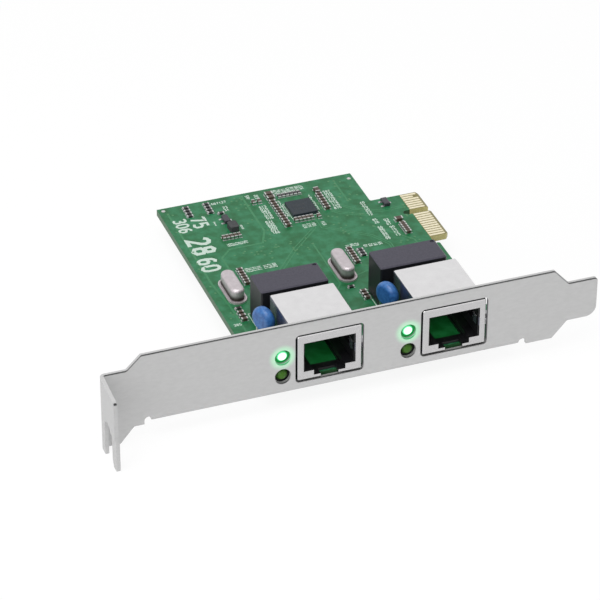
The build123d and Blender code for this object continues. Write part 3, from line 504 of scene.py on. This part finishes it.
# Colours of a lens at its core, over its body and at its rim, and how strongly it glows
LIT_LENS = (linear(235, 255, 245), linear(90, 210, 140), linear(4, 84, 40), 0.85)
UNLIT_LENS = (linear(52, 96, 14), linear(42, 82, 10), linear(24, 56, 6), 0.0)


def first_match(pairs, node, otherwise):
    """Value of the first pair whose name a node's name starts with."""
    for start, value in pairs:
        if node.startswith(start):
            return value
    return otherwise


def paint(obj, material):
    """One material all over an object."""
    obj.data.materials.clear()
    obj.data.materials.append(material)


def soften(obj, width):
    """Rounds an object's sharp edges and shades its curves smooth."""
    modifier = obj.modifiers.new("soft_edges", "BEVEL")
    modifier.width = width * MM
    modifier.segments = 2
    modifier.limit_method = "ANGLE"
    modifier.angle_limit = math.radians(40)
    modifier.harden_normals = True


def smooth(obj):
    """Smooth shading with crisp corners."""
    obj.data.shade_smooth()
    obj.data.set_sharp_from_angle(angle=math.radians(35))


def dress_nodes(nodes, materials):
    """Material and edges of every carried-over node."""
    for name, obj in nodes.items():
        smooth(obj)
        if name.startswith(("lamp_upper", "lamp_lower")):
            low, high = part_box(name)
            colours = LIT_LENS if name.startswith("lamp_upper") else UNLIT_LENS
            paint(obj, lens_material(name + "_lens", (low + high) / 2, *colours))
        elif name.endswith("_terminals"):
            paint(obj, materials["tin"])
        else:
            paint(obj, materials[first_match(NODE_MATERIALS, name, "epoxy")])
            width = first_match(EDGE_WIDTHS, name, 0)
            if width:
                soften(obj, width)


# Thin pieces laid on the board


def piece(name, builder, material):
    """Object from a bmesh, riding with the card."""
    mesh = bpy.data.meshes.new(name)
    bmesh.ops.recalc_face_normals(builder, faces=builder.faces)
    builder.to_mesh(mesh)
    builder.free()
    obj = bpy.data.objects.new(name, mesh)
    bpy.context.scene.collection.objects.link(obj)
    paint(obj, material)
    smooth(obj)
    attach(obj, "root")


def slab(builder, corners, low, high):
    """Closed prism over corners given in card millimetres."""
    bottom = [builder.verts.new(card(x, y, low)) for x, y in corners]
    top = [builder.verts.new(card(x, y, high)) for x, y in corners]
    builder.faces.new(bottom[::-1])
    builder.faces.new(top)
    count = len(corners)
    for i in range(count):
        j = (i + 1) % count
        builder.faces.new((bottom[i], bottom[j], top[j], top[i]))


def ribbon(builder, points, width, low, high):
    """Flat strip of one width along a line of places, with mitred corners."""
    places = [Vector(point) for point in points]
    closed = (places[0] - places[-1]).length < 1e-6
    if closed:
        places = places[:-1]
    count = len(places)
    left, right = [], []
    for i, place in enumerate(places):
        before = places[i - 1] if closed or i > 0 else None
        after = places[(i + 1) % count] if closed or i < count - 1 else None
        into = (place - before).normalized() if before is not None else None
        out = (after - place).normalized() if after is not None else into
        into = out if into is None else into
        normal = Vector((-(into.y + out.y), into.x + out.x)).normalized()
        reach = width / 2 / max(normal.dot(Vector((-out.y, out.x))), 0.5)
        left.append(place + normal * reach)
        right.append(place - normal * reach)
    rails = [[builder.verts.new(card(*p, z)) for p in side] for z in (low, high) for side in (left, right)]
    low_left, low_right, high_left, high_right = rails
    for i in range(count if closed else count - 1):
        j = (i + 1) % count
        builder.faces.new((high_left[i], high_right[i], high_right[j], high_left[j]))
        builder.faces.new((low_left[i], low_left[j], low_right[j], low_right[i]))
        builder.faces.new((low_left[i], high_left[i], high_left[j], low_left[j]))
        builder.faces.new((low_right[i], low_right[j], high_right[j], high_right[i]))
    if not closed:
        for i in (0, -1):
            builder.faces.new((low_left[i], low_right[i], high_right[i], high_left[i]))


# Strokes of the digits, in a cell one unit high and half a unit wide
LOOP = ((0.25, 1.0), (0.08, 0.92), (0.0, 0.72), (0.0, 0.28), (0.08, 0.08), (0.25, 0.0))
ZERO = LOOP + tuple((0.5 - x, 1.0 - y) for x, y in LOOP[1:-1]) + (LOOP[0],)
TWO_HOOK = ((0.0, 0.8), (0.08, 0.94), (0.25, 1.0), (0.42, 0.94), (0.5, 0.76), (0.44, 0.56))
TWO = TWO_HOOK + ((0.0, 0.0), (0.52, 0.0))
FIVE_TOP = ((0.46, 1.0), (0.06, 1.0), (0.03, 0.56), (0.28, 0.62), (0.48, 0.48))
FIVE = FIVE_TOP + ((0.48, 0.16), (0.3, 0.0), (0.0, 0.08))
SIX_BOWL = ((0.02, 0.3), (0.1, 0.54), (0.28, 0.6), (0.46, 0.5), (0.5, 0.28), (0.42, 0.06), (0.25, 0.0))
SIX = ((0.44, 0.94), (0.26, 1.0), (0.08, 0.84), (0.0, 0.5), (0.02, 0.2), (0.1, 0.05), (0.25, 0.0))
DIGITS = (
    (ZERO,),
    (((0.08, 0.78), (0.28, 1.0), (0.28, 0.0)),),
    (TWO,),
    (
        ((0.0, 0.9), (0.16, 1.0), (0.36, 0.98), (0.48, 0.86), (0.46, 0.64), (0.32, 0.54), (0.16, 0.54)),
        ((0.32, 0.54), (0.5, 0.42), (0.5, 0.14), (0.34, 0.0), (0.14, 0.0), (0.0, 0.12)),
    ),
    (((0.38, 0.0), (0.38, 1.0), (0.0, 0.3), (0.54, 0.3)),),
    (FIVE,),
    (SIX, SIX_BOWL),
    (((0.0, 1.0), (0.5, 1.0), (0.18, 0.0)),),
    (
        ((0.25, 1.0), (0.06, 0.9), (0.06, 0.64), (0.25, 0.54), (0.44, 0.64), (0.44, 0.9), (0.25, 1.0)),
        ((0.25, 0.54), (0.02, 0.42), (0.02, 0.12), (0.25, 0.0), (0.48, 0.12), (0.48, 0.42), (0.25, 0.54)),
    ),
    (tuple((0.5 - x, 1.0 - y) for x, y in SIX), tuple((0.5 - x, 1.0 - y) for x, y in SIX_BOWL)),
)


# A digit's width, and the step to the next digit, as shares of its height
DIGIT_WIDTH = 0.95
DIGIT_STEP = 0.76
STROKE_LIFT = 0.004


def write_digits(builder, digits, start, height, turn, surface, stroke=0.21):
    """Digits written from a start, turned by an angle in degrees, each stroke a hair above the last."""
    spin = Matrix.Rotation(math.radians(turn), 2)
    origin = Vector(start)
    for index, digit in enumerate(digits):
        shift = index * DIGIT_STEP
        for layer, line in enumerate(DIGITS[int(digit)]):
            cell = [((x * DIGIT_WIDTH + shift) * height, y * height) for x, y in line]
            points = [origin + spin @ Vector(place) for place in cell]
            ribbon(builder, points, stroke * height, surface, surface + INK_HEIGHT + layer * STROKE_LIFT)


def number_field(builder, rng, x0, x1, y0, y1, turn, height=0.85):
    """Rows of plain numbers that fill a rectangle, as part references do."""
    pitch = height * 1.3
    across, along = (x1 - x0, y1 - y0) if turn in (90, -90) else (y1 - y0, x1 - x0)
    rows = max(int(across / pitch + 0.45), 1)
    for row in range(rows):
        shift = (row + 0.5) * across / rows
        count = max(int(along / (height * 0.78)), 1)
        digits = "".join(str(rng.randint(0, 9)) for _ in range(count))
        if turn == 90:
            start = (x0 + shift + height / 2, y0)
        elif turn == -90:
            start = (x0 + shift - height / 2, y1)
        else:
            start = (x0, y0 + shift - height / 2)
        write_digits(builder, digits, start, height, turn, BOARD_TOP)


# Rectangles of small print: x from and to, y from and to, and the way the digits are turned
PRINT_FIELDS = (
    (63.0, 65.2, 66.5, 73.0, 0),
    (62.2, 64.5, 59.8, 66.0, 0),
    (68.4, 76.4, 77.0, 79.2, 90),
    (68.2, 69.1, 66.0, 73.8, 0),
    (76.2, 77.3, 66.5, 74.0, 0),
    (80.2, 82.4, 65.3, 74.4, 0),
    (70.0, 73.5, 59.8, 62.0, 90),
    (74.8, 75.9, 59.5, 62.0, 90),
    (50.0, 55.3, 58.3, 60.0, 90),
    (54.6, 56.4, 73.5, 76.0, 0),
    (52.5, 56.5, 77.2, 78.5, 0),
    (48.4, 49.7, 71.0, 73.5, 0),
    (50.2, 51.3, 68.0, 70.0, 0),
    (55.9, 57.0, 64.5, 66.5, 0),
    (61.2, 62.6, 77.0, 79.2, 90),
    (63.5, 64.5, 76.5, 79.0, 90),
    (86.9, 88.5, 59.7, 66.5, 0),
    (87.0, 88.7, 55.7, 58.2, 0),
    (87.0, 88.8, 48.2, 54.5, 0),
    (89.6, 91.4, 54.2, 57.2, 0),
    (89.8, 91.5, 48.8, 53.8, 0),
    (80.6, 85.5, 46.8, 48.5, 90),
    (76.5, 80.0, 48.2, 49.8, 90),
    (50.4, 54.5, 46.0, 48.3, 90),
    (55.0, 58.3, 46.0, 48.1, 90),
    (40.2, 42.6, 25.0, 26.5, 0),
)

# Large plain numbers near the board's left edge: digits, start, height and turn
LARGE_NUMBERS = (
    ("306", (41.2, 73.6), 2.9, -90),
    ("75", (45.3, 73.0), 3.4, -90),
    ("28", (41.4, 63.8), 5.2, -90),
    ("60", (41.0, 54.8), 4.2, -90),
)


def part_outline(builder, node, gap=0.35, width=0.16):
    """Thin ink frame around a part."""
    low, high = card_box(node)
    left, right, near, far = low.x - gap, high.x + gap, low.y - gap, high.y + gap
    corners = ((left, near), (right, near), (right, far), (left, far))
    ribbon(builder, corners + corners[:1], width, BOARD_TOP, BOARD_TOP + INK_HEIGHT)


def make_print(materials):
    """All the ink on the board."""
    rng = random.Random(7)
    builder = bmesh.new()
    for x0, x1, y0, y1, turn in PRINT_FIELDS:
        number_field(builder, rng, x0, x1, y0, y1, turn)
    for digits, start, height, turn in LARGE_NUMBERS:
        write_digits(builder, digits, start, height, turn, BOARD_TOP, stroke=0.2)
    for node in ("transformer_case_a", "transformer_case_b", "bridge_chip"):
        part_outline(builder, node)
    piece("printed_numbers", builder, materials["ink"])


def islands(obj):
    """Lowest and highest corner of each loose part of a node, in card millimetres."""
    builder = bmesh.new()
    builder.from_mesh(obj.data)
    bmesh.ops.remove_doubles(builder, verts=builder.verts, dist=1e-7)
    left = set(builder.verts)
    found = []
    while left:
        stack = [left.pop()]
        part = []
        while stack:
            vert = stack.pop()
            part.append(vert.co / MM - Vector(CORNER))
            for edge in vert.link_edges:
                other = edge.other_vert(vert)
                if other in left:
                    left.remove(other)
                    stack.append(other)
        low = Vector(map(min, zip(*part)))
        high = Vector(map(max, zip(*part)))
        found.append((low, high))
    builder.free()
    return sorted(found, key=lambda box: tuple(box[0]))


def turned(builder, x, y, sections, sides=12):
    """Turned form about an upright axis, from sections of (radius, z)."""
    rings = []
    for radius, z in sections:
        angles = [2 * math.pi * side / sides for side in range(sides)]
        places = [card(x + radius * math.cos(angle), y + radius * math.sin(angle), z) for angle in angles]
        rings.append([builder.verts.new(place) for place in places])
    builder.faces.new(rings[0][::-1])
    builder.faces.new(rings[-1])
    for lower, upper in zip(rings, rings[1:]):
        for i in range(sides):
            j = (i + 1) % sides
            builder.faces.new((lower[i], lower[j], upper[j], upper[i]))


# Leads that come out under the board. A bent one goes down a little before its rear end
STRAIGHT_LEADS = ("transformer_pins", "disc_leads", "crystal_leads")
BENT_LEADS = (("jack_contacts", 0.17), ("lamp_leads", 0.25))

# A solder cone below the board, as radius and depth from its tip to its foot
SOLDER_CONE = ((0.2, 0.95), (0.3, 0.7), (0.45, 0.25), (0.7, 0.04), (0.72, 0.0))
SOLDER_MARGIN = 0.12
SOLDER_THICKNESS = 0.06


def make_solder_joints(nodes, materials):
    """Solder cones under the board at every lead."""
    builder = bmesh.new()
    foot = BOARD_BOTTOM + 0.02
    sections = [(radius, foot - depth) for radius, depth in SOLDER_CONE]
    for name, obj in sorted(nodes.items()):
        inset = first_match(BENT_LEADS, name, 0)
        if not (inset or name.startswith(STRAIGHT_LEADS)):
            continue
        for low, high in islands(obj):
            y = high.y - inset if inset else (low.y + high.y) / 2
            turned(builder, (low.x + high.x) / 2, y, sections, sides=10)
    piece("solder_joints", builder, materials["solder"])


def make_solder_pads(nodes, materials):
    """Flat solder around the chip parts' ends."""
    builder = bmesh.new()
    for name in ("chip_part_ends", "small_package_legs"):
        for low, high in islands(nodes[name]):
            left, right = low.x - SOLDER_MARGIN, high.x + SOLDER_MARGIN
            near, far = low.y - SOLDER_MARGIN, high.y + SOLDER_MARGIN
            corners = ((left, near), (right, near), (right, far), (left, far))
            slab(builder, corners, BOARD_TOP, BOARD_TOP + SOLDER_THICKNESS)
    piece("solder_pads", builder, materials["solder"])


# Tracks on the board: width, then the places they pass
TRACKS = (
    (0.25, (95.6, 56.5), (92.0, 56.9), (84.5, 61.0), (80.5, 63.2), (77.2, 66.8)),
    (0.25, (95.6, 57.1), (92.2, 57.5), (84.8, 61.6), (80.9, 63.8), (77.2, 67.4)),
    (0.25, (96.5, 60.5), (90.5, 60.5), (84.5, 63.6), (80.0, 68.6), (77.2, 69.0)),
    (0.25, (96.5, 61.5), (90.8, 61.1), (84.9, 64.2), (80.3, 69.2), (77.2, 69.6)),
    (0.25, (72.2, 63.0), (72.2, 59.4), (64.4, 52.0), (58.2, 44.5), (56.6, 40.6)),
    (0.25, (72.8, 63.0), (72.8, 59.0), (65.0, 51.4), (58.9, 44.1), (57.2, 40.6)),
    (0.25, (74.1, 63.0), (74.1, 58.6), (84.0, 51.0), (86.8, 46.2), (86.8, 40.6)),
    (0.25, (74.7, 63.0), (74.7, 59.0), (84.6, 51.4), (87.4, 46.6), (87.4, 40.6)),
    (0.5, (41.0, 77.0), (41.0, 44.0), (42.0, 33.0), (42.0, 22.0)),
    (0.5, (60.6, 78.6), (60.6, 62.0), (58.4, 57.0), (50.0, 57.0), (47.0, 54.0), (47.0, 45.6)),
    (0.4, (69.6, 52.6), (69.6, 34.0), (67.0, 30.5), (67.0, 22.0)),
    (0.4, (84.5, 77.8), (84.5, 68.0)),
    (0.4, (86.2, 55.0), (93.4, 46.0), (93.4, 36.0)),
    (0.3, (46.6, 36.0), (49.4, 37.6), (53.6, 37.6)),
    (0.3, (46.6, 41.6), (49.4, 39.4), (53.6, 39.4)),
    (0.3, (74.4, 36.0), (78.4, 37.4), (83.8, 37.4)),
    (0.3, (74.4, 41.6), (78.4, 39.2), (83.8, 39.2)),
)


# Open stretches of board with small plated holes: x from and to, y from and to, count
VIA_AREAS = (
    (40.2, 42.0, 28.0, 78.0, 16),
    (57.0, 61.5, 49.0, 62.0, 12),
    (64.0, 69.0, 49.0, 57.5, 12),
    (76.5, 86.0, 53.0, 63.0, 18),
    (83.0, 88.0, 67.5, 78.5, 14),
    (57.5, 61.0, 66.0, 78.5, 14),
    (49.5, 58.0, 50.5, 56.0, 10),
    (89.5, 96.5, 43.5, 47.5, 8),
)

# Rims of the holes where tracks change sides, and of the small holes: radius, and height above the board
TRACK_RIM = ((0.34, 0.0), (0.34, 0.03), (0.16, 0.035))
HOLE_RIM = ((0.3, 0.0), (0.3, 0.03), (0.14, 0.035))
TARGET = ((0.5, 0.0), (0.5, 0.03), (0.45, 0.035))
TARGET_PLACES = ((40.4, 78.75), (88.45, 77.7))


def on_board(sections):
    """Sections of a turned form, raised to the board's top."""
    return [(radius, BOARD_TOP + height) for radius, height in sections]


def make_tracks(materials):
    """Copper tracks under the mask and the small holes where they change sides."""
    tracks = bmesh.new()
    holes = bmesh.new()
    for width, *places in TRACKS:
        ribbon(tracks, places, width, BOARD_TOP, BOARD_TOP + COPPER_HEIGHT)
        for x, y in (places[0], places[-1]):
            turned(holes, x, y, on_board(TRACK_RIM), sides=10)
    rng = random.Random(11)
    for x0, x1, y0, y1, count in VIA_AREAS:
        for _ in range(count):
            x = rng.uniform(x0, x1)
            y = rng.uniform(y0, y1)
            turned(holes, x, y, on_board(HOLE_RIM), sides=8)
    piece("copper_tracks", tracks, materials["masked_copper"])
    piece("via_rims", holes, materials["via"])


def make_targets(materials):
    """Round bare targets at two corners of the board."""
    builder = bmesh.new()
    for x, y in TARGET_PLACES:
        turned(builder, x, y, on_board(TARGET), sides=20)
    piece("corner_targets", builder, materials["tin"])


# Marks on the bridge chip, in from its lower left corner
CHIP_DOT = ((0.22, -0.01), (0.22, 0.008), (0.2, 0.01))
CHIP_DOT_INSET = 0.8
CHIP_ROWS = (("40713", 3.4), ("2286", 1.9))
CHIP_ROW_INSET = 1.3


def make_chip_marks(materials):
    """Moulded corner dot and plain numbers on the bridge chip."""
    low, high = card_box("bridge_chip")
    builder = bmesh.new()
    dot = [(radius, high.z + height) for radius, height in CHIP_DOT]
    turned(builder, low.x + CHIP_DOT_INSET, low.y + CHIP_DOT_INSET, dot, sides=16)
    for digits, inset in CHIP_ROWS:
        start = (low.x + CHIP_ROW_INSET, low.y + inset)
        write_digits(builder, digits, start, 0.8, 0, high.z - 0.01, stroke=0.12)
    piece("chip_marks", builder, materials["ferrite"])


# Stage


def seen_directly(owner):
    """1 where the camera or a gloss reflection sees a surface, otherwise 0."""
    path = owner.node_tree.nodes.new("ShaderNodeLightPath")
    return maths(owner, "MAXIMUM", path.outputs["Is Camera Ray"], path.outputs["Is Glossy Ray"])


def make_floor(level):
    """Wide pale floor under the card, white to the camera except where the card shades it."""
    mesh = bpy.data.meshes.new("floor")
    corners = ((-1, -1), (1, -1), (1, 1), (-1, 1))
    half = FLOOR_HALF_WIDTH
    mesh.from_pydata([(x * half, y * half, level) for x, y in corners], [], [(0, 1, 2, 3)])
    floor = bpy.data.objects.new("floor", mesh)
    bpy.context.scene.collection.objects.link(floor)
    material, shader = new_material("pale_floor", 0.9)
    shader.inputs["Base Color"].default_value = (0.92, 0.92, 0.92, 1)
    shader.inputs["Specular IOR Level"].default_value = 0.0
    nodes = material.node_tree.nodes
    white = nodes.new("ShaderNodeEmission")
    white.inputs["Strength"].default_value = 1.0
    blend = nodes.new("ShaderNodeMixShader")
    white_share = maths(material, "MULTIPLY", seen_directly(material), FLOOR_WHITE_SHARE)
    join(material, white_share, blend.inputs["Fac"])
    join(material, shader.outputs["BSDF"], blend.inputs[1])
    join(material, white.outputs["Emission"], blend.inputs[2])
    join(material, blend.outputs["Shader"], nodes["Material Output"].inputs["Surface"])
    paint(floor, material)


def make_world(strength):
    """Even pale surroundings that the camera and gloss see as white."""
    world = bpy.data.worlds.new("studio")
    bpy.context.scene.world = world
    world.use_nodes = True
    background = world.node_tree.nodes["Background"]
    background.inputs["Color"].default_value = (1, 1, 1, 1)
    level = between(world, seen_directly(world), 0.0, 1.0, low=strength, high=1.0)
    join(world, level, background.inputs["Strength"])


def add_lamp(name, kind, location, power, aim):
    """Lamp of a kind at a location, facing along a direction."""
    data = bpy.data.lights.new(name, kind)
    data.energy = power
    lamp = bpy.data.objects.new(name, data)
    lamp.location = location
    lamp.rotation_mode = "QUATERNION"
    lamp.rotation_quaternion = Vector(aim).to_track_quat("-Z", "Y")
    bpy.context.scene.collection.objects.link(lamp)
    return data


def make_lights():
    """Overhead key, weaker fill from the left front, even surroundings, and a faint light in each port."""
    middle = Vector(CAMERA_TARGET) * MM
    for name, offset, size, power in SOFT_LAMPS:
        data = add_lamp(name, "AREA", middle + Vector(offset), power, -Vector(offset))
        data.size = size
    for port in PORTS:
        low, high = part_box("jack_insulator_" + port)
        inside = ((low.x + high.x) / 2, low.y + PORT_LIGHT_BEHIND * MM, high.z - PORT_LIGHT_BELOW * MM)
        data = add_lamp("port_light_" + port, "SPOT", inside, PORT_LIGHT_POWER, PORT_LIGHT_AIM)
        data.spot_size = math.radians(100)
        data.spot_blend = 0.5
        data.color = PORT_LIGHT_COLOUR
        data.shadow_soft_size = 0.5 * MM
    make_world(SURROUNDINGS)


def make_camera():
    """Camera at the photograph's place, looking at the target with a slight roll."""
    azimuth = math.radians(CAMERA_AZIMUTH)
    elevation = math.radians(CAMERA_ELEVATION)
    level = math.cos(elevation)
    back = Vector((math.sin(azimuth) * level, -math.cos(azimuth) * level, math.sin(elevation)))
    data = bpy.data.cameras.new("camera")
    data.sensor_width = SENSOR_WIDTH
    data.lens = FOCAL_PIXELS * SENSOR_WIDTH / IMAGE_WIDTH
    data.clip_start = 0.01
    data.clip_end = 20.0
    camera = bpy.data.objects.new("camera", data)
    camera.location = (Vector(CAMERA_TARGET) + back * CAMERA_DISTANCE) * MM
    right = Vector((math.cos(azimuth), math.sin(azimuth), 0))
    up = back.cross(right)
    roll = math.radians(CAMERA_ROLL)
    rolled_right = right * math.cos(roll) + up * math.sin(roll)
    rolled_up = up * math.cos(roll) - right * math.sin(roll)
    camera.rotation_mode = "QUATERNION"
    camera.rotation_quaternion = Matrix((rolled_right, rolled_up, back)).transposed().to_quaternion()
    bpy.context.scene.collection.objects.link(camera)
    bpy.context.scene.camera = camera


def main():
    """Dresses the card."""
    scene = bpy.context.scene
    scene.view_settings.view_transform = "Standard"
    for old in list(bpy.data.objects):
        bpy.data.objects.remove(old)
    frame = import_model()
    cad_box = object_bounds()
    materials = make_materials()
    dress_nodes(frame["nodes"], materials)
    make_print(materials)
    make_tracks(materials)
    make_targets(materials)
    make_chip_marks(materials)
    make_solder_joints(frame["nodes"], materials)
    make_solder_pads(frame["nodes"], materials)
    make_camera()
    make_lights()
    make_floor(cad_box[0].z)


main()
